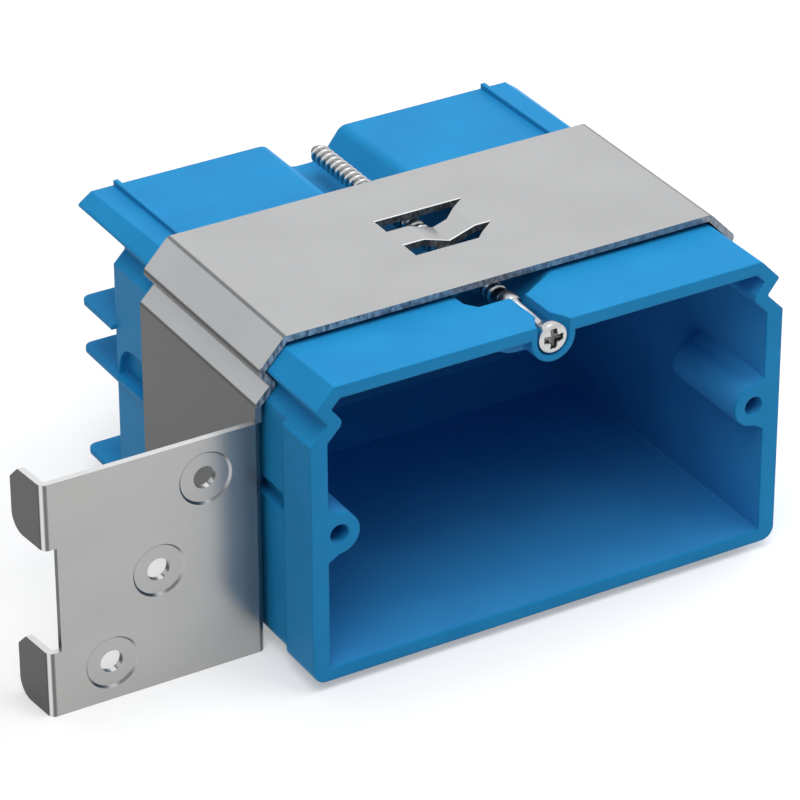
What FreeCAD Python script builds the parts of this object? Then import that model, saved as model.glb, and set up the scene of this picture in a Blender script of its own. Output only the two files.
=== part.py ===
import FreeCAD, Part
import math
import os

Vector = FreeCAD.Vector

# Frame: +X runs along the long side of the box, +Y into the wall, +Z up. Heights are drawn
# from the underside of the box, and place() then puts the origin between the device-screw holes.

# Box, seen from the front
BOX_WIDTH = 94.0
BOX_HEIGHT = 56.9
WALL = 2.3
SHOULDER_INSET = 4.67
SHOULDER_SPREAD = 0.9
TIP_INSET = 0.96
TIP_DROP = 3.95
GROOVE_INSET = 3.31
GROOVE_DROP = 6.87
LIP_DROP = 2.53
FOOT_RADIUS = 2.5
EDGE_RADIUS = 0.5
INNER_EDGE_RADIUS = 0.25
INNER_GROOVE_RADIUS = 1.4

# Box, along its depth
COLLAR_DEPTH = 9.5
COLLAR_STEP = 0.9
BACK_FACE = 72.2
SHELF_DEPTH = 86.0
SHELF_LIP = 0.4
SHELF_WALL = 1.8
TOP_FALL = 1.9
BACK_CORNER_RUN = 7.6
BACK_CORNER_RISE = 4.2

# Device-screw bosses
DEVICE_SPACING = 83.34
DEVICE_HEIGHT = 28.55
DEVICE_BOSS_RADIUS = 3.9
DEVICE_BOSS_DEPTH = 20.0
DEVICE_FLARE = 5.8
DEVICE_HOLE_RADIUS = 1.8
DEVICE_HOLE_DEPTH = 17.0
CORE_SLOT_LENGTH = 12.0
CORE_SLOT_HEIGHT = 3.6
CORE_SLOT_RISE = 1.5
CORE_SLOT_CUT = 1.5

# Trough in the top wall for the adjusting screw
TROUGH_START = 11.7
TROUGH_DROP = 7.8
TROUGH_FLOOR_HALF = 3.4
TROUGH_TOP_HALF = 9.3
TROUGH_WALL = 2.0
TROUGH_CORNER_RADIUS = 4.5
TROUGH_EDGE_RADIUS = 2.4
TROUGH_LEFT_CUT = (1.6, 2.4)
TROUGH_RIGHT_CUT = (7.4, 4.6)

# Guide ribs on the top wall, wire fins and knockouts at the back
RIB_OFFSET = 38.3
RIB_WIDTH = 0.9
RIB_START = 19.0
RIB_FALL = 0.9
FIN_HEIGHTS = (3.5, 24.7, 34.4)
FIN_THICKNESS = 0.9
FIN_INSET = 1.4
FIN_WIDTH = 20.0
FIN_CORNER_RADIUS = 2.0
LEDGE_LENGTH = 15.6
KNOCKOUT_LENGTH = 14.0
KNOCKOUT_BACK = 0.9
KNOCKOUT_HEIGHT = 6.6
KNOCKOUT_RADIUS = 5.5
KNOCKOUT_CUT = 1.6

# Adjusting screw
SCREW_DROP = 2.9
HEAD_RADIUS = 2.8
HEAD_FRONT = 0.4
HEAD_RIM = 1.1
HEAD_CONE = 2.9
HEAD_CROWN = 0.3
RECESS_WIDTH = 0.8
RECESS_SPAN = 3.4
RECESS_DEPTH = 1.3
NECK_RADIUS = 1.35
THREAD_RADIUS = 1.7
SCREW_END_INSET = 4.8
TIP_TAPER = 0.7
HEAD_RING_WALL = 1.1
HEAD_CLEARANCE = 0.4
NECK_CLEARANCE = 0.3
GROOVE_MOUTH_HALF = 1.45
END_PLAY = 0.3

# Stud bracket
SHEET = 1.2
SHEET_GAP = 0.25
TOP_GAP = 0.6
BEND_RADIUS = 0.7
BEND_LAND = 1.0
BRACKET_FRONT = 16.3
BRACKET_WIDTH = 41.4
HOOK_OVER_GROOVE = 0.8
SIDE_PLATE_FOOT = -1.8
FLANGE_DROP = 13.3
FLANGE_WIDTH = 40.05
NOTCH_INSET = 1.9
CLAW_LENGTH = 9.9
CLAW_SPLAY = 5.0
CLAW_HEIGHT = 12.6
CLAW_CHAMFER = 2.6
CLAW_CORNER_RADIUS = 3.4
NAIL_HOLES = ((10.2, 36.0), (19.4, 20.8), (28.8, 5.5))
NAIL_HOLE_RADIUS = 2.1
DIMPLE_RADIUS = 5.0
DIMPLE_DEPTH = 0.4

# Thread bridge pressed out of the bracket's top
SLIT_START = 29.7
SLIT_WIDTH = 4.2
BRIDGE_WIDTH = 5.8
SLIT_LEFT = 9.3
SLIT_RIGHT = 8.3
BRIDGE_BEND = 5.2
BRIDGE_CLEARANCE = 0.2
RAMP_FOOT = 2.8

# Values that follow from the ones above
HALF_WIDTH = BOX_WIDTH / 2
SIDE_FACE = HALF_WIDTH - COLLAR_STEP
GROOVE_HEIGHT = BOX_HEIGHT - GROOVE_DROP
TROUGH_FLOOR = BOX_HEIGHT - TROUGH_DROP
SCREW_HEIGHT = BOX_HEIGHT - SCREW_DROP
SCREW_END = SHELF_DEPTH - SCREW_END_INSET
FLANGE_TOP = BOX_HEIGHT - FLANGE_DROP
BRACKET_BACK = BRACKET_FRONT + BRACKET_WIDTH
MARGIN = 5.0


def on_front(depth):
    return lambda across, up: Vector(across, depth, up)


def on_side(offset):
    return lambda along, up: Vector(offset, along, up)


def on_level(height):
    return lambda across, along: Vector(across, along, height)


def unit(start, end):
    length = math.hypot(end[0] - start[0], end[1] - start[1])
    return (end[0] - start[0]) / length, (end[1] - start[1]) / length


def corner_arc(before, corner, after, radius):
    # Tangent points and middle of the arc that rounds one corner
    ux, uy = unit(before, corner)
    vx, vy = unit(corner, after)
    turn = math.atan2(ux * vy - uy * vx, ux * vx + uy * vy)
    reach = radius * math.tan(abs(turn) / 2)
    side = math.copysign(1.0, turn)
    start = (corner[0] - ux * reach, corner[1] - uy * reach)
    end = (corner[0] + vx * reach, corner[1] + vy * reach)
    centre = (start[0] - uy * side * radius, start[1] + ux * side * radius)
    cx, cy = unit(centre, corner)
    middle = (centre[0] + cx * radius, centre[1] + cy * radius)
    return start, middle, end


def rounded_wire(corners, radii, place):
    # Closed outline: straight sides with each corner rounded by its own radius
    count = len(corners)
    arcs = []
    for i in range(count):
        if radii[i] > 0:
            arcs.append(corner_arc(corners[i - 1], corners[i], corners[(i + 1) % count], radii[i]))
        else:
            arcs.append((corners[i], corners[i], corners[i]))
    edges = []
    for i in range(count):
        start, middle, end = arcs[i]
        if radii[i] > 0:
            edges.append(Part.Arc(place(*start), place(*middle), place(*end)).toShape())
        edges.append(Part.LineSegment(place(*end), place(*arcs[(i + 1) % count][0])).toShape())
    return Part.Wire(edges)


def prism(corners, radii, place, travel):
    return Part.Face(rounded_wire(corners, radii, place)).extrude(travel)


def block(x0, x1, y0, y1, z0, z1):
    return Part.makeBox(x1 - x0, y1 - y0, z1 - z0, Vector(x0, y0, z0))


def rod(radius, x, z, y0, y1):
    return Part.makeCylinder(radius, y1 - y0, Vector(x, y0, z), Vector(0, 1, 0))


def both_sides(shape):
    return [shape, shape.mirror(Vector(0, 0, 0), Vector(1, 0, 0))]


def inset(corners, distance):
    # Every side of a closed outline, drawn clockwise, moved inwards by the same distance
    count = len(corners)
    moved = []
    for i in range(count):
        ux, uy = unit(corners[i - 1], corners[i])
        vx, vy = unit(corners[i], corners[(i + 1) % count])
        scale = distance / (1 + ux * vx + uy * vy)
        moved.append((corners[i][0] + scale * (uy + vy), corners[i][1] - scale * (ux + vx)))
    return moved


def right_edge(depth, side):
    # The chamfered wing, the rail groove below it and the side wall, from the top down
    share = depth / SHELF_DEPTH
    top = BOX_HEIGHT - TOP_FALL * share
    lip = GROOVE_HEIGHT - LIP_DROP - (side - SIDE_FACE)
    return [
        (HALF_WIDTH - SHOULDER_INSET + SHOULDER_SPREAD * share, top),
        (HALF_WIDTH - TIP_INSET, BOX_HEIGHT - TIP_DROP),
        (HALF_WIDTH - GROOVE_INSET, GROOVE_HEIGHT),
        (side, lip),
        (side, 0.0),
    ]


def outline(depth, side):
    right = right_edge(depth, side)
    left = [(-x, z) for x, z in reversed(right)]
    return right + left


def outer_radii():
    right = [EDGE_RADIUS, EDGE_RADIUS, EDGE_RADIUS, EDGE_RADIUS, FOOT_RADIUS]
    return right + right[::-1]


def inner_radii():
    right = [INNER_EDGE_RADIUS, INNER_EDGE_RADIUS, INNER_GROOVE_RADIUS, EDGE_RADIUS, EDGE_RADIUS]
    return right + right[::-1]


def outer_loft(y0, y1, side):
    wires = [rounded_wire(outline(y, side), outer_radii(), on_front(y)) for y in (y0, y1)]
    return Part.makeLoft(wires, True, True)


def inner_loft(y0, y1, wall):
    wires = []
    for y in (y0, y1):
        wires.append(rounded_wire(inset(outline(y, SIDE_FACE), wall), inner_radii(), on_front(y)))
    return Part.makeLoft(wires, True, True)


def trough_corners():
    # Sloping sides that run on past the top wall, and a flat floor
    rise = BOX_HEIGHT - TROUGH_FLOOR
    slope = (TROUGH_TOP_HALF - TROUGH_FLOOR_HALF) / rise
    top = BOX_HEIGHT + MARGIN
    half = TROUGH_TOP_HALF + slope * MARGIN
    return [(-half, top), (half, top), (TROUGH_FLOOR_HALF, TROUGH_FLOOR), (-TROUGH_FLOOR_HALF, TROUGH_FLOOR)]


def trough_space():
    # The trough's section run back from its front wall, whose corners are cut off as seen from above
    radii = [0, 0, TROUGH_CORNER_RADIUS, TROUGH_CORNER_RADIUS]
    start = TROUGH_START
    end = SHELF_DEPTH + MARGIN
    run = prism(trough_corners(), radii, on_front(start), Vector(0, end - start, 0))
    half = TROUGH_TOP_HALF
    wide = half + MARGIN
    left_x, left_y = TROUGH_LEFT_CUT
    right_x, right_y = TROUGH_RIGHT_CUT
    left = [(-wide, start), (-half, start + left_y), (-half + left_x, start)]
    right = [(wide, start), (half - right_x, start), (half, start + right_y), (wide, start + right_y)]
    low = TROUGH_FLOOR - MARGIN
    tall = Vector(0, 0, BOX_HEIGHT)
    run = run.cut(prism(left, [0, 0, 0], on_level(low), tall))
    return run.cut(prism(right, [0, 0, 0, 0], on_level(low), tall))


def trough_envelope(start):
    radii = [0, 0, TROUGH_CORNER_RADIUS + TROUGH_WALL, TROUGH_CORNER_RADIUS + TROUGH_WALL]
    length = SHELF_DEPTH + MARGIN - start
    corners = inset(trough_corners(), -TROUGH_WALL)
    return prism(corners, radii, on_front(start), Vector(0, length, 0))


def shell():
    # Tapering box with its proud collar, hollowed from the front, and the shelf behind its back wall
    solid = outer_loft(0.0, COLLAR_DEPTH, HALF_WIDTH)
    solid = solid.fuse(outer_loft(COLLAR_DEPTH, SHELF_DEPTH, SIDE_FACE))
    wide = BOX_WIDTH
    low = BOX_HEIGHT - TIP_DROP - SHELF_LIP
    below = block(-wide, wide, BACK_FACE, SHELF_DEPTH + MARGIN, -MARGIN, low)
    cavity = inner_loft(0.0, BACK_FACE - WALL, WALL)
    under_shelf = inner_loft(BACK_FACE, SHELF_DEPTH + WALL / 2, SHELF_WALL)
    spared = trough_envelope(TROUGH_START - TROUGH_WALL)
    solid = solid.cut(cavity.cut(spared))
    solid = solid.cut(below.fuse(under_shelf).cut(spared))
    solid = solid.cut(trough_space())
    edges = [edge for edge in solid.Edges if on_trough_edge(edge)]
    return solid.makeFillet(TROUGH_EDGE_RADIUS, edges)


def on_trough_edge(edge):
    # The two long edges where the trough's sides meet the top wall
    box = edge.BoundBox
    long_enough = box.YLength > SHELF_DEPTH / 2
    beside = TROUGH_FLOOR_HALF + MARGIN / 2 < abs(box.Center.x) < TROUGH_TOP_HALF + TROUGH_WALL / 2
    return long_enough and beside and box.ZMax > BOX_HEIGHT - TOP_FALL


def back_corner():
    # Sloping corner inside, between the floor and the back wall
    inner = BACK_FACE - WALL
    start = inner - BACK_CORNER_RUN
    rise = WALL + BACK_CORNER_RISE
    corners = [(start, WALL), (inner, rise), (BACK_FACE - WALL / 2, rise), (BACK_FACE - WALL / 2, WALL / 2)]
    corners.append((start, WALL / 2))
    half = SIDE_FACE - WALL
    return prism(corners, [0, 0, 0, 0, 0], on_side(-half), Vector(2 * half, 0, 0))


def device_boss():
    # Round boss that flares into the end wall
    x = DEVICE_SPACING / 2
    z = DEVICE_HEIGHT
    wall = SIDE_FACE - WALL / 2
    boss = rod(DEVICE_BOSS_RADIUS, x, z, 0.0, DEVICE_BOSS_DEPTH)
    web = [(x, z - DEVICE_BOSS_RADIUS), (x, z + DEVICE_BOSS_RADIUS)]
    web += [(wall, z + DEVICE_FLARE), (wall, z - DEVICE_FLARE)]
    return boss.fuse(prism(web, [0, 0, 0, 0], on_front(0.0), Vector(0, DEVICE_BOSS_DEPTH, 0)))


def device_cuts():
    # Screw hole in the boss, and the slot that cores it out from the side
    x = DEVICE_SPACING / 2
    hole = rod(DEVICE_HOLE_RADIUS, x, DEVICE_HEIGHT, -MARGIN, DEVICE_HOLE_DEPTH)
    z0 = DEVICE_HEIGHT + CORE_SLOT_RISE - CORE_SLOT_HEIGHT / 2
    start = COLLAR_DEPTH
    inner = SIDE_FACE - CORE_SLOT_CUT
    slot = block(inner, HALF_WIDTH + MARGIN, start, start + CORE_SLOT_LENGTH, z0, z0 + CORE_SLOT_HEIGHT)
    return hole.fuse(slot)


def head_ring():
    # Boss round the screw's head and neck, flush with the top wall
    radius = HEAD_RADIUS + HEAD_CLEARANCE + HEAD_RING_WALL
    ring = rod(radius, 0.0, SCREW_HEIGHT, 0.0, TROUGH_START)
    top = BOX_HEIGHT - TOP_FALL
    return ring.cut(block(-radius, radius, -MARGIN, TROUGH_START + MARGIN, top, top + radius + MARGIN))


def screw_seat():
    # Countersunk seat for the head and a groove for the neck, both open at the top
    seat_radius = HEAD_RADIUS + HEAD_CLEARANCE
    rim = HEAD_RIM - HEAD_FRONT
    cone_end = rim + HEAD_CONE
    groove_radius = NECK_RADIUS + NECK_CLEARANCE
    mouth = GROOVE_MOUTH_HALF
    bore = rod(seat_radius, 0.0, SCREW_HEIGHT, -MARGIN, rim)
    centre = Vector(0, rim, SCREW_HEIGHT)
    bore = bore.fuse(Part.makeCone(seat_radius, groove_radius, HEAD_CONE, centre, Vector(0, 1, 0)))
    end = TROUGH_START + TROUGH_WALL
    groove = rod(groove_radius, 0.0, SCREW_HEIGHT, 0.0, end)
    top = BOX_HEIGHT + MARGIN
    corners = [(-groove_radius, SCREW_HEIGHT), (-mouth, BOX_HEIGHT), (-mouth, top)]
    corners += [(mouth, top), (mouth, BOX_HEIGHT), (groove_radius, SCREW_HEIGHT)]
    flared = prism(corners, [0, 0, 0, 0, 0, 0], on_front(0.0), Vector(0, end, 0))
    plan = [(-seat_radius, -MARGIN), (-seat_radius, rim), (-groove_radius, cone_end)]
    plan += [(groove_radius, cone_end), (seat_radius, rim), (seat_radius, -MARGIN)]
    head_mouth = prism(plan, [0, 0, 0, 0, 0, 0], on_level(SCREW_HEIGHT), Vector(0, 0, top))
    return bore.fuse(groove).fuse(flared).fuse(head_mouth)


def rib():
    # Low upright rib whose top edge falls a little towards the back
    low = BOX_HEIGHT - WALL
    back = BOX_HEIGHT - RIB_FALL
    corners = [(RIB_START, low), (RIB_START, BOX_HEIGHT), (SHELF_DEPTH, back), (SHELF_DEPTH, low)]
    return prism(corners, [0, 0, 0, 0], on_side(RIB_OFFSET - RIB_WIDTH / 2), Vector(RIB_WIDTH, 0, 0))


def fin(height):
    outer = HALF_WIDTH
    inner = HALF_WIDTH - FIN_WIDTH
    front = BACK_FACE - WALL / 2
    back = SHELF_DEPTH - FIN_INSET
    corners = [(inner, front), (inner, back), (outer, back), (outer, BACK_FACE), (SIDE_FACE - WALL, BACK_FACE)]
    corners.append((SIDE_FACE - WALL, front))
    radii = [0, FIN_CORNER_RADIUS, FIN_CORNER_RADIUS, 0, 0, 0]
    return prism(corners, radii, on_level(height), Vector(0, 0, FIN_THICKNESS))


def ledge():
    # The middle fin runs on along the side wall
    z0 = FIN_HEIGHTS[1]
    start = BACK_FACE - LEDGE_LENGTH
    return block(SIDE_FACE - WALL / 2, HALF_WIDTH, start, BACK_FACE, z0, z0 + FIN_THICKNESS)


def knockout():
    # Cable knockout, thinned from outside just above the ledge and rounded at its upper corners
    back = BACK_FACE - KNOCKOUT_BACK
    start = back - KNOCKOUT_LENGTH
    bottom = FIN_HEIGHTS[1] + FIN_THICKNESS
    top = bottom + KNOCKOUT_HEIGHT
    corners = [(start, bottom), (back, bottom), (back, top), (start, top)]
    radii = [0, 0, KNOCKOUT_RADIUS, KNOCKOUT_RADIUS]
    return prism(corners, radii, on_side(SIDE_FACE - KNOCKOUT_CUT), Vector(HALF_WIDTH, 0, 0))


def box_body():
    solid = shell().fuse(back_corner())
    for part in both_sides(device_boss()) + [head_ring()]:
        solid = solid.fuse(part)
    for part in both_sides(rib()) + both_sides(ledge()):
        solid = solid.fuse(part)
    for height in FIN_HEIGHTS:
        for part in both_sides(fin(height)):
            solid = solid.fuse(part)
    cuts = both_sides(device_cuts()) + both_sides(knockout())
    cuts += [screw_seat()]
    for cut in cuts:
        solid = solid.cut(cut)
    return solid


def strip(path, radius, thickness, place, travel):
    # Sheet bent along a path of straight runs: both faces follow the bends at the same centres
    half = thickness / 2
    bends = [corner_arc(path[i - 1], path[i], path[i + 1], radius) for i in range(1, len(path) - 1)]
    joints = [path[0]] + [point for bend in bends for point in (bend[0], bend[2])] + [path[-1]]
    faces = []
    for side in (half, -half):
        edges = []
        for i in range(len(path) - 1):
            start = joints[2 * i]
            end = joints[2 * i + 1]
            ux, uy = unit(path[i], path[i + 1])
            shift = (-uy * side, ux * side)
            a = (start[0] + shift[0], start[1] + shift[1])
            b = (end[0] + shift[0], end[1] + shift[1])
            edges.append((a, b))
        faces.append(edges)
    left, right = faces
    loop = []
    for i, (a, b) in enumerate(left):
        loop.append(Part.LineSegment(place(*a), place(*b)).toShape())
        if i < len(bends):
            loop.append(bend_edge(path, bends, i, half, b, left[i + 1][0], place))
    loop.append(Part.LineSegment(place(*left[-1][1]), place(*right[-1][1])).toShape())
    for i in reversed(range(len(right))):
        a, b = right[i]
        loop.append(Part.LineSegment(place(*b), place(*a)).toShape())
        if i > 0:
            loop.append(bend_edge(path, bends, i - 1, -half, a, right[i - 1][1], place))
    loop.append(Part.LineSegment(place(*right[0][0]), place(*left[0][0])).toShape())
    return Part.Face(Part.Wire(loop)).extrude(travel)


def bend_edge(path, bends, i, side, start, end, place):
    # One face of a bend: the middle of the arc moves along the line that halves the corner
    ux, uy = unit(path[i], path[i + 1])
    vx, vy = unit(path[i + 1], path[i + 2])
    nx, ny = unit((0.0, 0.0), (-(uy + vy), ux + vx))
    middle = (bends[i][1][0] + nx * side, bends[i][1][1] + ny * side)
    return Part.Arc(place(*start), place(*middle), place(*end)).toShape()


def saddle_path():
    # From the hook in the right rail groove, over the top and through the left groove, down the side
    wrapped = inset(outline(0.0, HALF_WIDTH), -(SHEET_GAP + SHEET / 2))
    level = BOX_HEIGHT + TOP_GAP + SHEET / 2
    slope = (wrapped[0][0] - wrapped[1][0]) / (wrapped[0][1] - wrapped[1][1])
    shoulder = (wrapped[1][0] + slope * (level - wrapped[1][1]), level)
    right = [shoulder, wrapped[1], wrapped[2]]
    hook_x = right[1][0] + HOOK_OVER_GROOVE * (right[2][0] - right[1][0])
    hook_z = right[1][1] + HOOK_OVER_GROOVE * (right[2][1] - right[1][1])
    side = wrapped[3]
    left = [(-x, z) for x, z in right]
    return [(hook_x, hook_z), right[1], right[0], left[0], left[1], left[2], (-side[0], side[1])]


def saddle():
    path = saddle_path()
    path.append((path[-1][0], SIDE_PLATE_FOOT))
    solid = strip(path, BEND_RADIUS, SHEET, on_front(BRACKET_FRONT), Vector(0, BRACKET_WIDTH, 0))
    corner = block(-BOX_WIDTH, 0.0, 0.0, bend_end(), SIDE_PLATE_FOOT - MARGIN, FLANGE_TOP)
    return solid.cut(corner)


def bend_end():
    return BRACKET_FRONT + SHEET / 2 + BEND_RADIUS + BEND_LAND


def flange():
    # Flange and its two claws, bent from the front edge of the side plate
    side = saddle_path()[-1][0]
    plane = BRACKET_FRONT + SHEET / 2
    edge = side - FLANGE_WIDTH
    splay = CLAW_LENGTH * math.tan(math.radians(CLAW_SPLAY))
    path = [(edge - splay, plane + CLAW_LENGTH), (edge, plane), (side, plane), (side, bend_end())]
    tall = FLANGE_TOP - SIDE_PLATE_FOOT
    solid = strip(path, BEND_RADIUS, SHEET, on_level(SIDE_PLATE_FOOT), Vector(0, 0, tall))
    notch = edge + NOTCH_INSET
    far = edge - BOX_WIDTH
    ends = block(far, notch, 0.0, BRACKET_BACK, SIDE_PLATE_FOOT, FLANGE_TOP)
    low = SIDE_PLATE_FOOT
    high = FLANGE_TOP - CLAW_HEIGHT
    for foot in (low, high):
        ends = ends.cut(claw_shape(foot, far, notch - far))
    return solid.cut(ends)


def claw_shape(foot, offset, travel):
    # Side view of one claw: its end is chamfered above and well rounded below
    top = foot + CLAW_HEIGHT
    reach = BRACKET_FRONT + CLAW_LENGTH
    corners = [(0.0, foot), (0.0, top), (reach - CLAW_CHAMFER, top), (reach, top - CLAW_CHAMFER), (reach, foot)]
    radii = [0, 0, EDGE_RADIUS, EDGE_RADIUS, CLAW_CORNER_RADIUS]
    return prism(corners, radii, on_side(offset), Vector(travel, 0, 0))


def nail_places():
    # Each hole's place is given as a distance out from the side plate and a height
    side = saddle_path()[-1][0]
    return [(side - out, height) for out, height in NAIL_HOLES]


def dimple(x, z, face, wide, narrow):
    return Part.makeCone(wide, narrow, DIMPLE_DEPTH, Vector(x, face, z), Vector(0, 1, 0))


def dimpled(solid):
    back = BRACKET_FRONT + SHEET
    narrow = DIMPLE_RADIUS - DIMPLE_DEPTH
    for x, z in nail_places():
        solid = solid.fuse(dimple(x, z, back, DIMPLE_RADIUS, narrow))
        solid = solid.cut(dimple(x, z, BRACKET_FRONT, DIMPLE_RADIUS, narrow))
        solid = solid.cut(rod(NAIL_HOLE_RADIUS, x, z, 0.0, BRACKET_BACK))
    return solid


def bridge_path():
    # The bridge dips until its underside sits just over the thread
    level = BOX_HEIGHT + TOP_GAP + SHEET / 2
    underside = SCREW_HEIGHT + THREAD_RADIUS + BRIDGE_CLEARANCE
    dip = level - SHEET / 2 - underside
    slack = BEND_RADIUS * (math.sqrt(1 + (dip / BRIDGE_BEND) ** 2) - 1)
    low = level - dip - slack
    return [(-SLIT_LEFT, level), (-BRIDGE_BEND, level), (0.0, low), (BRIDGE_BEND, level), (SLIT_RIGHT, level)]


def bridge():
    start = SLIT_START + SLIT_WIDTH
    return strip(bridge_path(), BEND_RADIUS, SHEET, on_front(start), Vector(0, BRIDGE_WIDTH, 0))


def ramp(start):
    # Triangular tongue that folds down at the right end of a slit
    whole = strip(bridge_path(), BEND_RADIUS, SHEET, on_front(start), Vector(0, SLIT_WIDTH, 0))
    corners = [(RAMP_FOOT, start), (SLIT_RIGHT, start + SLIT_WIDTH), (SLIT_RIGHT, start)]
    tall = Vector(0, 0, BOX_HEIGHT)
    return whole.common(prism(corners, [0, 0, 0], on_level(BOX_HEIGHT / 2), tall))


def stud_bracket():
    solid = dimpled(saddle().fuse(flange()))
    end = SLIT_START + 2 * SLIT_WIDTH + BRIDGE_WIDTH
    low = BOX_HEIGHT
    solid = solid.cut(block(-SLIT_LEFT, SLIT_RIGHT, SLIT_START, end, low, low + MARGIN))
    for part in (bridge(), ramp(SLIT_START), ramp(SLIT_START + SLIT_WIDTH + BRIDGE_WIDTH)):
        solid = solid.fuse(part)
    return solid


def screw_profile():
    # Half section of the screw: head with a cone under it, neck, shank and tapered end
    front = -HEAD_FRONT
    rim = front + HEAD_RIM - END_PLAY
    back = rim + HEAD_CONE
    shank = TROUGH_START + END_PLAY
    crown = HEAD_RADIUS - HEAD_CROWN
    middle = HEAD_CROWN * (1 - math.sqrt(0.5))
    at = lambda radius, along: Vector(radius, along, 0)
    arc = Part.Arc(at(crown, front), at(HEAD_RADIUS - middle, front + middle), at(HEAD_RADIUS, front + HEAD_CROWN))
    points = [at(HEAD_RADIUS, front + HEAD_CROWN), at(HEAD_RADIUS, rim), at(NECK_RADIUS, back)]
    points += [at(NECK_RADIUS, shank), at(THREAD_RADIUS, shank + THREAD_RADIUS - NECK_RADIUS)]
    points += [at(THREAD_RADIUS, SCREW_END - TIP_TAPER), at(THREAD_RADIUS - TIP_TAPER, SCREW_END)]
    points += [at(0, SCREW_END), at(0, front), at(crown, front)]
    edges = [arc.toShape()] + Part.makePolygon(points).Edges
    return Part.Face(Part.Wire(edges))


def adjusting_screw():
    solid = screw_profile().revolve(Vector(0, 0, 0), Vector(0, 1, 0), 360)
    half = RECESS_SPAN / 2
    thin = RECESS_WIDTH / 2
    bottom = RECESS_DEPTH - HEAD_FRONT
    solid = solid.cut(block(-half, half, -MARGIN, bottom, -thin, thin))
    solid = solid.cut(block(-thin, thin, -MARGIN, bottom, -half, half))
    solid.translate(Vector(0, 0, SCREW_HEIGHT))
    return solid


def place(name, shape):
    shape = shape.removeSplitter()
    shape.translate(Vector(0, 0, -DEVICE_HEIGHT))
    print(name, "valid", shape.isValid(), "solids", len(shape.Solids), "volume", round(shape.Volume))
    shape.exportStep("parts/" + name + ".step")


os.makedirs("parts", exist_ok=True)
place("box_body", box_body())
place("stud_bracket", stud_bracket())
place("adjusting_screw", adjusting_screw())
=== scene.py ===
import math

import bmesh
import bpy
import numpy as np
from mathutils import Matrix, Vector


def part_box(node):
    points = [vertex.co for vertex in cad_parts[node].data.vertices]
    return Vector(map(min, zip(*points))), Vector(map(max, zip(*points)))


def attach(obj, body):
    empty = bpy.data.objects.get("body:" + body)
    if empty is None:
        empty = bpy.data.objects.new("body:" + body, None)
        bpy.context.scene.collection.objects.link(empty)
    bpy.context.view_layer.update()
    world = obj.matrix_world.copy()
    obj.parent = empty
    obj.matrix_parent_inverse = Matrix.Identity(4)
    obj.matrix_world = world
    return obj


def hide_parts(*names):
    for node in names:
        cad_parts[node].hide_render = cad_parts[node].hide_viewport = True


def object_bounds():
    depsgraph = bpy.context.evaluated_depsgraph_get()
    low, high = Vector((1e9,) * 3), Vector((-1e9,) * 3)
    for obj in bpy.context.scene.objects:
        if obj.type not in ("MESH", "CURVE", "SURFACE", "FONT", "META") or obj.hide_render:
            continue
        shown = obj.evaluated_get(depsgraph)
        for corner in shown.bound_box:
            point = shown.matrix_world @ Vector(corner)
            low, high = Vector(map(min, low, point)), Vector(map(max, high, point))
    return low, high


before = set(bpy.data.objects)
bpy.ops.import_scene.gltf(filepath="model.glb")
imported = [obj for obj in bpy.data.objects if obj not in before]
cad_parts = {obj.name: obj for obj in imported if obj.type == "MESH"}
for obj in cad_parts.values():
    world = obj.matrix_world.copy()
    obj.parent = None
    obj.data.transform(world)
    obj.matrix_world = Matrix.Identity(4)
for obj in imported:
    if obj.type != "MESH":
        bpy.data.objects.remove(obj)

cad_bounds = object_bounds()
mm = 0.001

# Box body
# One moulding of blue rigid PVC: the collar, the rail grooves under the wings, the bosses, the trough
# for the screw, and the shelf and fins at the back. It keeps the solid's own form, and its surface is
# the fine satin of a spark-finished mould.

CORE_HALF = 44.9 * mm
CORE_TOP = 24.6 * mm
CORE_FRONT = 0.5 * mm
CORE_BACK = 71.9 * mm
CORE_FACING = 2 * mm
MOULDED_EDGE = 0.5 * mm
FLOW_CLOUD = 14 * mm
MOULD_GRAIN = 0.35 * mm
GRAIN_DEPTH = 0.02 * mm
BEYOND = 1000 * mm


def linear(hex_colour):
    """The colour of an sRGB hex string in linear light: each channel through the sRGB curve."""
    channels = np.array([int(hex_colour[i:i + 2], 16) for i in (1, 3, 5)]) / 255
    bright = ((channels + 0.055) / 1.055) ** 2.4
    return (*np.where(channels <= 0.04045, channels / 12.92, bright), 1.0)


def add_node(tree, kind, settings=(), stops=(), **links):
    """One node of a material, given back as its outputs: its settings, a colour ramp's stops of position
    and hex colour, and for each socket, by its name or by i and its number, a value or an output."""
    node = tree.nodes.new(kind)
    for name, value in dict(settings).items():
        setattr(node, name, value)
    for index, (position, colour) in enumerate(stops):
        element = node.color_ramp.elements[index] if index < 2 else node.color_ramp.elements.new(position)
        element.position = position
        element.color = linear(colour)
    for name, value in links.items():
        socket = node.inputs[int(name[1:]) if name[1:].isdigit() else name.replace("_", " ")]
        if isinstance(value, bpy.types.NodeSocket):
            tree.links.new(value, socket)
        else:
            socket.default_value = value
    return node.outputs


def new_material(name):
    """An empty node material: the material, its tree and its surface shader."""
    material = bpy.data.materials.new(name)
    material.use_nodes = True
    return material, material.node_tree, material.node_tree.nodes["Principled BSDF"]


def place_and_facing(tree):
    """The outputs of a coordinate node, then x, y and z of the object coordinates and of the normal."""
    given = add_node(tree, "ShaderNodeTexCoord")
    spot = add_node(tree, "ShaderNodeSeparateXYZ", Vector=given["Object"]).values()
    normal = add_node(tree, "ShaderNodeSeparateXYZ", Vector=given["Normal"]).values()
    return given, spot, normal


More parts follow.
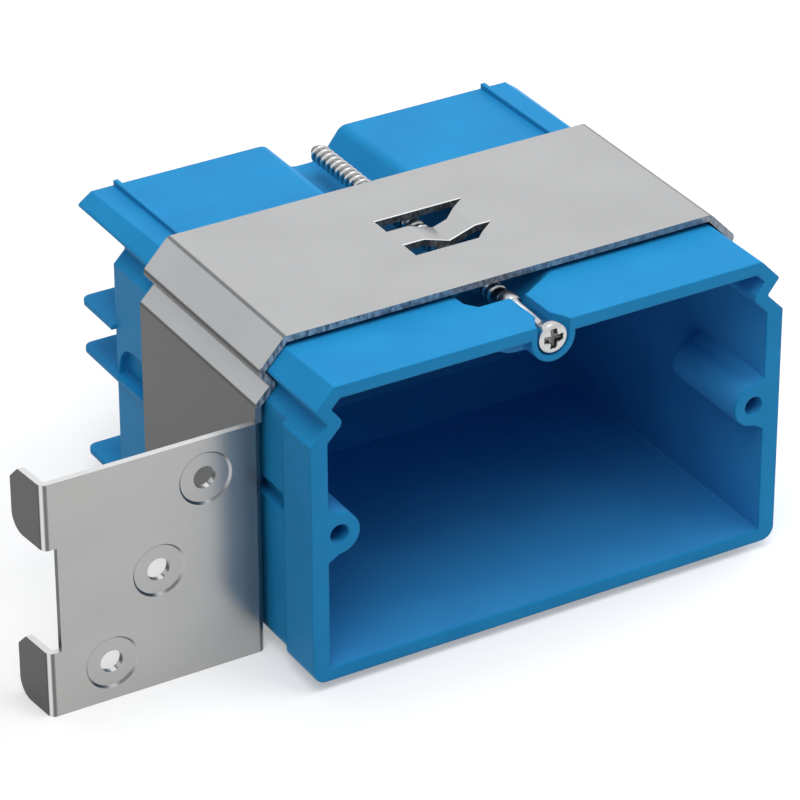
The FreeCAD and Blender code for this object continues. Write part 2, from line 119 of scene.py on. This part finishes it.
def within(tree, *spans):
    """1 where every (value, low, high) has its value between low and high, and 0 elsewhere: the product
    of a comparison of each value with the middle of its span."""
    inside = 1.0
    for value, low, high in spans:
        near = add_node(tree, "ShaderNodeMath", {"operation": "COMPARE"},
                        i0=value, i1=(low + high) / 2, i2=(high - low) / 2)[0]
        inside = add_node(tree, "ShaderNodeMath", {"operation": "MULTIPLY"}, i0=inside, i1=near)[0]
    return inside


def moulded_pvc():
    """Rigid PVC: IOR 1.53, satin, with softened edges, a fine orange-peel grain and faint flow clouds. The
    outside has the deep blue skin of the mould, and the inside is painted a little paler and greyer: a
    painted haze that stands in for the light filling the shaded inside of the box."""
    material, tree, shader = new_material("moulded_blue_pvc")
    given, (x, y, z), _ = place_and_facing(tree)
    clouds = add_node(tree, "ShaderNodeTexNoise",
                      Vector=given["Object"], Scale=1 / FLOW_CLOUD, Detail=2.0)["Fac"]
    outside = add_node(tree, "ShaderNodeValToRGB", stops=[(0.3, "#2389C4"), (0.7, "#2691CC")], Fac=clouds)[0]
    # Paler, greyer blue for the inside faces: a painted haze standing in for the light in the shaded inside
    # of the box.
    inside = add_node(tree, "ShaderNodeValToRGB", stops=[(0.3, "#378DCA"), (0.7, "#3B95D2")], Fac=clouds)[0]
    across = add_node(tree, "ShaderNodeVectorMath", {"operation": "MULTIPLY"},
                      i0=given["Object"], i1=(1.0, 0.0, 1.0))[0]
    outward = add_node(tree, "ShaderNodeVectorMath", {"operation": "DOT_PRODUCT"},
                       i0=across, i1=given["Normal"])["Value"]
    # Mask of the inside faces, which take the painted haze.
    painted_haze_inside = within(tree, (outward, -BEYOND, CORE_FACING), (x, -CORE_HALF, CORE_HALF),
                   (y, CORE_FRONT, CORE_BACK), (z, -BEYOND, CORE_TOP))
    colour = add_node(tree, "ShaderNodeMix", {"data_type": "RGBA"}, i0=painted_haze_inside, i6=outside, i7=inside)[2]
    tree.links.new(colour, shader.inputs["Base Color"])
    grain = add_node(tree, "ShaderNodeTexNoise",
                     Vector=given["Object"], Scale=1 / MOULD_GRAIN, Detail=2.0)["Fac"]
    rounded = add_node(tree, "ShaderNodeBevel", {"samples": 8}, Radius=MOULDED_EDGE)["Normal"]
    bumped = add_node(tree, "ShaderNodeBump",
                      Height=grain, Strength=0.12, Distance=GRAIN_DEPTH, Normal=rounded)["Normal"]
    tree.links.new(bumped, shader.inputs["Normal"])
    gloss = add_node(tree, "ShaderNodeMapRange", Value=clouds, To_Min=0.4, To_Max=0.47)["Result"]
    tree.links.new(gloss, shader.inputs["Roughness"])
    shader.inputs["IOR"].default_value = 1.53
    shader.inputs["Specular IOR Level"].default_value = 0.06
    return material


box_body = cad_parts["box_body"]
pvc = moulded_pvc()
for slot in box_body.material_slots:
    slot.material = pvc

# Stud bracket
# One piece of hot-dip galvanised steel sheet, 1.2 mm thick, cut and pressed, then folded over the box
# and through its rail grooves. It hooks the stud with two claws and is nailed through three dimples.

FLANGE_TOP = 18 * mm
CLAW_BEND = -84 * mm
SLIT_MIDDLE = 37 * mm
SLIT_REACH = 12 * mm
SLIT_LEFT = -9.3 * mm
SLIT_RIGHT = 8.3 * mm
BRIDGE_FRONT = 33.9 * mm
SLIT_BACK = 43.9 * mm
# Width of the painted highlight along the slits' far edges.
SLIT_HIGHLIGHT_WIDTH = 0.4 * mm
SPANGLE = 16 * mm
TEAR_LENGTH = 0.7 * mm
TEAR_HEIGHT = 1.5 * mm
# Span over which the painted highlight of the torn edges fades from left to right.
TEAR_HIGHLIGHT_FADE = 40 * mm
FULL = 1.1


def galvanised_steel():
    """Zinc-coated sheet: metal, satin, an even grey on top and on the flange. Painted shade darkens the folds
    at the top's ends and, more deeply, the faces that stand square to the box's length; a faint warm painted
    shade lies on the flange's front face. Painted highlights lie on the bends of the claws, along the
    flange's upper edge and along the far edges of the slits. Where the top's edges were sheared it is bare,
    torn steel with tears, whose bright dashes are partly painted highlight that fades from left to right; in
    the slits the torn edge is painted darker as shade."""
    material, tree, shader = new_material("galvanised_sheet_steel")
    given, (x, y, z), (nx, ny, nz) = place_and_facing(tree)
    sideways = add_node(tree, "ShaderNodeMath", {"operation": "ABSOLUTE"}, i0=nx)[0]
    lengthways = add_node(tree, "ShaderNodeMath", {"operation": "ABSOLUTE"}, i0=ny)[0]
    clouds = add_node(tree, "ShaderNodeTexNoise",
                      Vector=given["Object"], Scale=1 / SPANGLE, Detail=1.0)["Fac"]
    even = add_node(tree, "ShaderNodeValToRGB", stops=[(0.1, "#B4B5B6"), (0.9, "#BEBFC0")], Fac=clouds)[0]
    # Painted shade by facing: darker on the folds at the top's ends and much darker on the faces square to
    # the box's length.
    painted_side_shade = add_node(tree, "ShaderNodeValToRGB", Fac=sideways,
                      stops=[(0.06, "#FFFFFF"), (0.2, "#A4A5A6"), (0.5, "#A4A5A6"), (0.66, "#F4F5F7"),
                             (0.8, "#F4F5F7"), (0.93, "#686868"), (1.0, "#686868")])[0]
    by_slits = within(tree, (x, -SLIT_REACH, SLIT_REACH),
                      (y, SLIT_MIDDLE - SLIT_REACH, SLIT_MIDDLE + SLIT_REACH))

    # Painted highlight on the claws' bends, where the normals turn through the sideways directions.
    bend_highlight = add_node(tree, "ShaderNodeValToRGB", Fac=sideways,
                    stops=[(0.5, "#000000"), (0.7, "#FFFFFF"), (0.85, "#FFFFFF"), (0.95, "#000000")])[0]
    claw_bend_highlight = add_node(tree, "ShaderNodeMath", {"operation": "MULTIPLY"},
                         i0=bend_highlight, i1=within(tree, (x, -BEYOND, CLAW_BEND)))[0]
    # Painted highlight along the flange's upward-facing upper edge.
    upper_edge_highlight = within(tree, (nz, 0.9, FULL), (z, -BEYOND, FLANGE_TOP))
    # Faint warm painted shade on the flange's front face.
    flange_face_shade = within(tree, (lengthways, 0.9, FULL), (z, -BEYOND, FLANGE_TOP))
    sheared = within(tree, (lengthways, 0.9, FULL), (z, FLANGE_TOP, BEYOND))
    # Painted highlights: thin bright lines on the upward faces at the slits' far edges.
    front_slit_highlight, back_slit_highlight = [
        within(tree, (x, SLIT_LEFT, SLIT_RIGHT), (y, edge, edge + SLIT_HIGHLIGHT_WIDTH), (nz, 0.5, FULL))
        for edge in (BRIDGE_FRONT, SLIT_BACK)]

    stretched = add_node(tree, "ShaderNodeMapping", Vector=given["Object"],
                         Scale=(1 / TEAR_LENGTH, 1 / TEAR_HEIGHT, 1 / TEAR_HEIGHT))["Vector"]
    tears = add_node(tree, "ShaderNodeTexNoise", Vector=stretched, Scale=1.0, Detail=1.0)["Fac"]
    # Torn steel on the top's long sheared edges: the tear texture is real, and its bright dashes are partly
    # painted highlight.
    long_edge_tears_and_highlight = add_node(tree, "ShaderNodeValToRGB", Fac=tears,
                         stops=[(0.36, "#6E757B"), (0.64, "#C9CDD0")])[0]
    # The torn edges inside the slits are painted darker: painted shade in the narrow cuts.
    slit_edge_shade = add_node(tree, "ShaderNodeValToRGB", Fac=tears,
                         stops=[(0.4, "#4C5256"), (0.6, "#777C80")])[0]
    # The painted highlight fades from left to right into an even grey.
    highlight_fade = add_node(tree, "ShaderNodeMapRange", Value=x, From_Min=-TEAR_HIGHLIGHT_FADE, From_Max=TEAR_HIGHLIGHT_FADE,
                     To_Min=0.0, To_Max=0.7)["Result"]
    long_edge_tears_and_highlight = add_node(tree, "ShaderNodeMix", {"data_type": "RGBA"},
                         i0=highlight_fade, i6=long_edge_tears_and_highlight, i7=linear("#868D94"))[2]
    torn_edge_with_painted_light = add_node(tree, "ShaderNodeMix", {"data_type": "RGBA"}, i0=by_slits, i6=long_edge_tears_and_highlight, i7=slit_edge_shade)[2]

    # Layers, in order: painted shade by facing, kept off the top round the slits; painted highlights on the
    # claw bends and the flange's upper edge; a faint warm painted shade on the flange face; the torn edges
    # with their painted light; painted highlights on the slits' far edges.
    colour = even
    for blend, mask, layer in (("MULTIPLY", 1.0, painted_side_shade), ("MIX", by_slits, even),
                               ("MIX", claw_bend_highlight, linear("#DFE0E1")), ("MIX", upper_edge_highlight, linear("#DFE0E1")),
                               ("MULTIPLY", flange_face_shade, linear("#F3F1EE")), ("MIX", sheared, torn_edge_with_painted_light),
                               ("MIX", front_slit_highlight, linear("#F2F3F3")), ("MIX", back_slit_highlight, linear("#F2F3F3"))):
        colour = add_node(tree, "ShaderNodeMix", {"data_type": "RGBA", "blend_type": blend},
                          i0=mask, i6=colour, i7=layer)[2]
    tree.links.new(colour, shader.inputs["Base Color"])
    gloss = add_node(tree, "ShaderNodeMapRange", Value=clouds, To_Min=0.22, To_Max=0.28)["Result"]
    tree.links.new(gloss, shader.inputs["Roughness"])
    plated = add_node(tree, "ShaderNodeMapRange", Value=sheared, To_Min=0.8, To_Max=0.4)["Result"]
    tree.links.new(plated, shader.inputs["Metallic"])
    return material


stud_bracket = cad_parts["stud_bracket"]
zinc_sheet = galvanised_steel()
for slot in stud_bracket.material_slots:
    slot.material = zinc_sheet

# Adjusting screw
# A turned and thread-rolled steel screw with a bright zinc plate: countersunk head with a cross recess,
# a plain neck that lies in the box's groove, and a coarse thread that runs through the bracket's bridge.

screw_low, screw_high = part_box("adjusting_screw")
SCREW_AXIS_Z = (screw_low[2] + screw_high[2]) / 2
HEAD_FRONT = screw_low[1]
SCREW_END = screw_high[1]
HEAD_RADIUS = (screw_high[0] - screw_low[0]) / 2
HEAD_CORNER = 0.25 * mm
HEAD_CONE_MM = [(2.8, 1.1), (2.8, 1.55), (2.56, 2.1), (2.24, 2.7), (1.92, 3.3), (1.62, 3.9), (1.52, 4.4)]
CROWN = 0.45 * mm
NECK_RADIUS = 1.5 * mm
COLLAR_START = 12.6 * mm
COLLAR_RADIUS = 2.05 * mm
COLLAR_RINGS = 9
THREAD_START = 16.4 * mm
RUN_IN = 0.5 * mm
PITCH = 25.4 * mm / 15
ROOT_RADIUS = 1.4 * mm
CREST_RADIUS = 1.88 * mm
TOOTH_TOP = 1.25
TOOTH_SLOPE = 3.1
TIP_LENGTH = 1.6 * mm
TIP_TAPER = 0.45
RECESS_ARM = 1.95 * mm
RECESS_HALF = 0.52 * mm
RECESS_DEPTH = 1.4 * mm
RECESS_WALL = 0.22 * mm
RECESS_RISE = 0.35
# Depth into the head where the painted shade of the recess begins.
RECESS_SHADE_FROM = 0.55 * mm
SEGMENTS = 72
FACE_RINGS = 34
CORNER_RINGS = 6
RINGS_A_TURN = 18
BLOTCH = 1.2 * mm


def grid_mesh(name, points):
    """A mesh of quads over a grid of points: rows run along the piece, columns run round it and close."""
    rows, columns, _ = points.shape
    first = np.arange(rows - 1)[:, None] * columns
    around = np.arange(columns)[None, :]
    after = (around + 1) % columns
    second = first + columns
    quads = np.stack([first + around, first + after, second + after, second + around], axis=-1)
    mesh = bpy.data.meshes.new(name)
    mesh.from_pydata(points.reshape(-1, 3).tolist(), [], quads.reshape(-1, 4).tolist())
    mesh.update()
    return mesh


def smooth_step(values, low, high):
    """Rises from 0 to 1 between low and high along 3t squared minus 2t cubed."""
    t = np.clip((values - low) / (high - low), 0, 1)
    return t * t * (3 - 2 * t)


def recess_arm(across, along):
    """1 in one slot of the cross, which is narrow across and long along, falling to 0 at its walls."""
    narrow = 1 - smooth_step(across, RECESS_HALF, RECESS_HALF + RECESS_WALL)
    return narrow * (1 - smooth_step(along, RECESS_ARM - RECESS_WALL, RECESS_ARM))


def screw_points():
    """Rows of rings along the screw: a crowned face pressed in by a cross, a rounded cone under the head,
    a plain neck, a short collar, then a helix whose radius rises from root to crest once a turn, and a
    tapered end."""
    around = np.linspace(0, 2 * math.pi, SEGMENTS, endpoint=False)[None, :]
    face_radius = (np.linspace(0.0, 1.0, FACE_RINGS) * (HEAD_RADIUS - HEAD_CORNER))[:, None]
    across = np.abs(face_radius * np.cos(around))
    up = np.abs(face_radius * np.sin(around))
    cross = np.maximum(recess_arm(across, up), recess_arm(up, across))
    recess = cross * RECESS_DEPTH * (1 - RECESS_RISE * face_radius / HEAD_RADIUS)
    face_along = HEAD_FRONT + CROWN * (face_radius / HEAD_RADIUS) ** 2 + recess
    radii = [face_radius * np.ones_like(around)]
    places = [face_along * np.ones_like(around)]
    turn = np.linspace(0, math.pi / 2, CORNER_RINGS)[:, None]
    radii.append(HEAD_RADIUS - HEAD_CORNER + HEAD_CORNER * np.sin(turn) * np.ones_like(around))
    places.append(HEAD_FRONT + CROWN + HEAD_CORNER * (1 - np.cos(turn)) * np.ones_like(around))
    body = [(radius * mm, HEAD_FRONT + along * mm) for radius, along in HEAD_CONE_MM]
    body.append((NECK_RADIUS, COLLAR_START))
    for turned in np.linspace(0, math.pi, COLLAR_RINGS + 2)[1:-1]:
        middle = (1 - math.cos(turned)) / 2
        body.append((NECK_RADIUS + (COLLAR_RADIUS - NECK_RADIUS) * math.sin(turned) ** 0.5,
                     COLLAR_START + (THREAD_START - RUN_IN - COLLAR_START) * middle))
    body = np.array(body)
    radii.append(body[:, :1] * np.ones_like(around))
    places.append(body[:, 1:] * np.ones_like(around))
    along = np.arange(THREAD_START - RUN_IN, SCREW_END - 0.01 * mm, PITCH / RINGS_A_TURN)[:, None]
    phase = (along / PITCH - around / (2 * math.pi)) % 1.0
    tooth = smooth_step(TOOTH_TOP - TOOTH_SLOPE * np.abs(phase - 0.5), 0, 1)
    root = NECK_RADIUS + (ROOT_RADIUS - NECK_RADIUS) * smooth_step(along, THREAD_START - RUN_IN, THREAD_START)
    height = (CREST_RADIUS - ROOT_RADIUS) * smooth_step(along, THREAD_START, THREAD_START + PITCH)
    taper = 1 - TIP_TAPER * smooth_step(along, SCREW_END - TIP_LENGTH, SCREW_END)
    radii.append((root + height * tooth) * taper)
    places.append(along * np.ones_like(around))
    radii.append(np.full_like(around, 0.0))
    places.append(np.full_like(around, SCREW_END))
    radius = np.concatenate(radii)
    place = np.concatenate(places)
    spin = np.broadcast_to(around, radius.shape)
    return np.stack([radius * np.cos(spin), place, SCREW_AXIS_Z + radius * np.sin(spin)], axis=-1)


def bright_zinc():
    """Zinc plate on steel: full metal, fairly glossy, blotched slightly by the plating bath, with a painted
    shade on the forward-facing flat of the head, and a darker painted shade in the roots of the thread and in
    the recess."""
    material, tree, shader = new_material("bright_zinc_plate")
    given, (_, y, _), (_, ny, _) = place_and_facing(tree)
    blotches = add_node(tree, "ShaderNodeTexNoise",
                        Vector=given["Object"], Scale=1 / BLOTCH, Detail=2.0)["Fac"]
    plate = add_node(tree, "ShaderNodeValToRGB", stops=[(0.1, "#BDBEC0"), (0.9, "#D6D7D9")], Fac=blotches)[0]
    spoke = add_node(tree, "ShaderNodeVectorMath", {"operation": "MULTIPLY_ADD"},
                     i0=given["Object"], i1=(1.0, 0.0, 1.0), i2=(0.0, 0.0, -SCREW_AXIS_Z))[0]
    radius = add_node(tree, "ShaderNodeVectorMath", {"operation": "LENGTH"}, i0=spoke)["Value"]
    # Painted shade in the thread's roots, darkest at the root radius and gone at the crest.
    thread_root_shade = add_node(tree, "ShaderNodeMapRange", Value=radius, From_Min=ROOT_RADIUS + 0.05 * mm,
                           From_Max=CREST_RADIUS - 0.1 * mm, To_Min=within(tree, (y, THREAD_START, BEYOND)),
                           To_Max=0.0)["Result"]
    # Painted shade deep in the cross recess.
    recess = within(tree, (y, HEAD_FRONT + RECESS_SHADE_FROM, HEAD_FRONT + 2 * RECESS_DEPTH),
                    (radius, -BEYOND, RECESS_ARM + 0.05 * mm))
    # Painted shade on the faces of the head that face forward.
    head_face_shade = within(tree, (ny, -FULL, -0.9))
    colour = plate
    for mask, layer in ((head_face_shade, "#C6C7C6"), (thread_root_shade, "#777876"), (recess, "#777876")):
        colour = add_node(tree, "ShaderNodeMix", {"data_type": "RGBA"},
                          i0=mask, i6=colour, i7=linear(layer))[2]
    tree.links.new(colour, shader.inputs["Base Color"])
    gloss = add_node(tree, "ShaderNodeMapRange", Value=blotches, To_Min=0.18, To_Max=0.3)["Result"]
    tree.links.new(gloss, shader.inputs["Roughness"])
    shader.inputs["Metallic"].default_value = 1.0
    return material


screw_mesh = grid_mesh("threaded_screw", screw_points())
threaded_screw = bpy.data.objects.new("threaded_screw", screw_mesh)
bpy.context.scene.collection.objects.link(threaded_screw)
work = bmesh.new()
work.from_mesh(screw_mesh)
bmesh.ops.remove_doubles(work, verts=work.verts, dist=1e-7)
bmesh.ops.recalc_face_normals(work, faces=work.faces)
work.to_mesh(screw_mesh)
work.free()
for polygon in screw_mesh.polygons:
    polygon.use_smooth = True
screw_mesh.materials.append(bright_zinc())
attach(threaded_screw, "screw")
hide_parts("adjusting_screw")

# Floor, light and camera
# A plain white sheet under the object, soft lights from above, the front and the right with little from
# the left, and a long lens from the front left, above the box.

FLOOR_HEIGHT = cad_bounds[0][2]
FLOOR_HALF = 3.0
FLOOR_LIFT = 0.36
AMBIENT = 0.15

floor_mesh = bpy.data.meshes.new("floor")
floor_corners = [(FLOOR_HALF * x, FLOOR_HALF * y, FLOOR_HEIGHT)
                 for x, y in ((-1, -1), (1, -1), (1, 1), (-1, 1))]
floor_mesh.from_pydata(floor_corners, [], [(0, 1, 2, 3)])
floor = bpy.data.objects.new("floor", floor_mesh)
bpy.context.scene.collection.objects.link(floor)


def background_rays(tree):
    """1 for the rays that show the background, seen, mirrored or refracted, and 0 for the rest."""
    path = add_node(tree, "ShaderNodeLightPath")
    shown = path["Is Camera Ray"]
    for kind in ("Is Glossy Ray", "Is Transmission Ray"):
        shown = add_node(tree, "ShaderNodeMath", {"operation": "MAXIMUM"}, i0=shown, i1=path[kind])[0]
    return shown


def white_sheet():
    """Matt white card that keeps the shadow; a little of its own light takes the lit part up to white."""
    material, tree, shader = new_material("white_sheet")
    shader.inputs["Base Color"].default_value = (0.7, 0.7, 0.7, 1.0)
    shader.inputs["Roughness"].default_value = 1.0
    shader.inputs["Specular IOR Level"].default_value = 0.0
    shader.inputs["Emission Color"].default_value = (1.0, 1.0, 1.0, 1.0)
    lift = add_node(tree, "ShaderNodeMath", {"operation": "MULTIPLY"},
                    i0=background_rays(tree), i1=FLOOR_LIFT)[0]
    tree.links.new(lift, shader.inputs["Emission Strength"])
    return material


floor_mesh.materials.append(white_sheet())

world = bpy.data.worlds.new("studio")
world.use_nodes = True
bpy.context.scene.world = world
background = world.node_tree.nodes["Background"]
level = add_node(world.node_tree, "ShaderNodeMapRange", Value=background_rays(world.node_tree),
                 To_Min=AMBIENT, To_Max=1.0)["Result"]
world.node_tree.links.new(level, background.inputs["Strength"])
background.inputs["Color"].default_value = (1.0, 1.0, 1.0, 1.0)

# Each light's name, its place in metres, its power in watts, and whether shiny faces mirror it
LIGHTS = [
    ("overhead", (0.0, 0.03, 0.93), 3.1, True),
    ("right", (0.83, 0.18, 0.31), 4.2, False),
    ("front_right", (0.32, -0.29, 0.78), 2.0, False),
    ("front_left", (-0.32, -0.35, 0.74), 2.6, False),
    ("back_left", (-0.39, 0.71, 0.45), 0.8, False),
]
LIGHT_TARGET = Vector((0, 0.03, 0))
LIGHT_SIZE = 0.5

for name, place, power, mirrored in LIGHTS:
    lamp = bpy.data.lights.new(name, "AREA")
    lamp.size = LIGHT_SIZE
    lamp.energy = power
    light = bpy.data.objects.new(name, lamp)
    light.location = place
    light.visible_glossy = mirrored
    light.rotation_euler = (LIGHT_TARGET - Vector(place)).to_track_quat("-Z", "Y").to_euler()
    bpy.context.scene.collection.objects.link(light)

VIEW_TARGET = Vector((-9.39, 30.0, 34.19 - 28.55)) * mm
AZIMUTH = math.radians(-30.51)
ELEVATION = math.radians(29.77)
ROLL = math.radians(-0.09)
DISTANCE = 786.7 * mm
FOCAL_PIXELS = 4515
IMAGE_PIXELS = 800
CENTRE_PIXELS = (414.9, 378.8)
SENSOR = 36.0

level_reach = math.cos(ELEVATION)
back = Vector((math.sin(AZIMUTH) * level_reach, -math.cos(AZIMUTH) * level_reach, math.sin(ELEVATION)))
lens = bpy.data.cameras.new("camera")
lens.sensor_width = SENSOR
lens.lens = FOCAL_PIXELS / IMAGE_PIXELS * SENSOR
lens.shift_x = (IMAGE_PIXELS / 2 - CENTRE_PIXELS[0]) / IMAGE_PIXELS
lens.shift_y = (CENTRE_PIXELS[1] - IMAGE_PIXELS / 2) / IMAGE_PIXELS
lens.clip_start = 0.01
lens.clip_end = 20
camera = bpy.data.objects.new("camera", lens)
turned = back.to_track_quat("Z", "Y").to_matrix().to_4x4() @ Matrix.Rotation(ROLL, 4, "Z")
camera.matrix_world = Matrix.Translation(VIEW_TARGET + back * DISTANCE) @ turned
bpy.context.scene.collection.objects.link(camera)
bpy.context.scene.camera = camera
bpy.context.scene.view_settings.view_transform = "Standard"
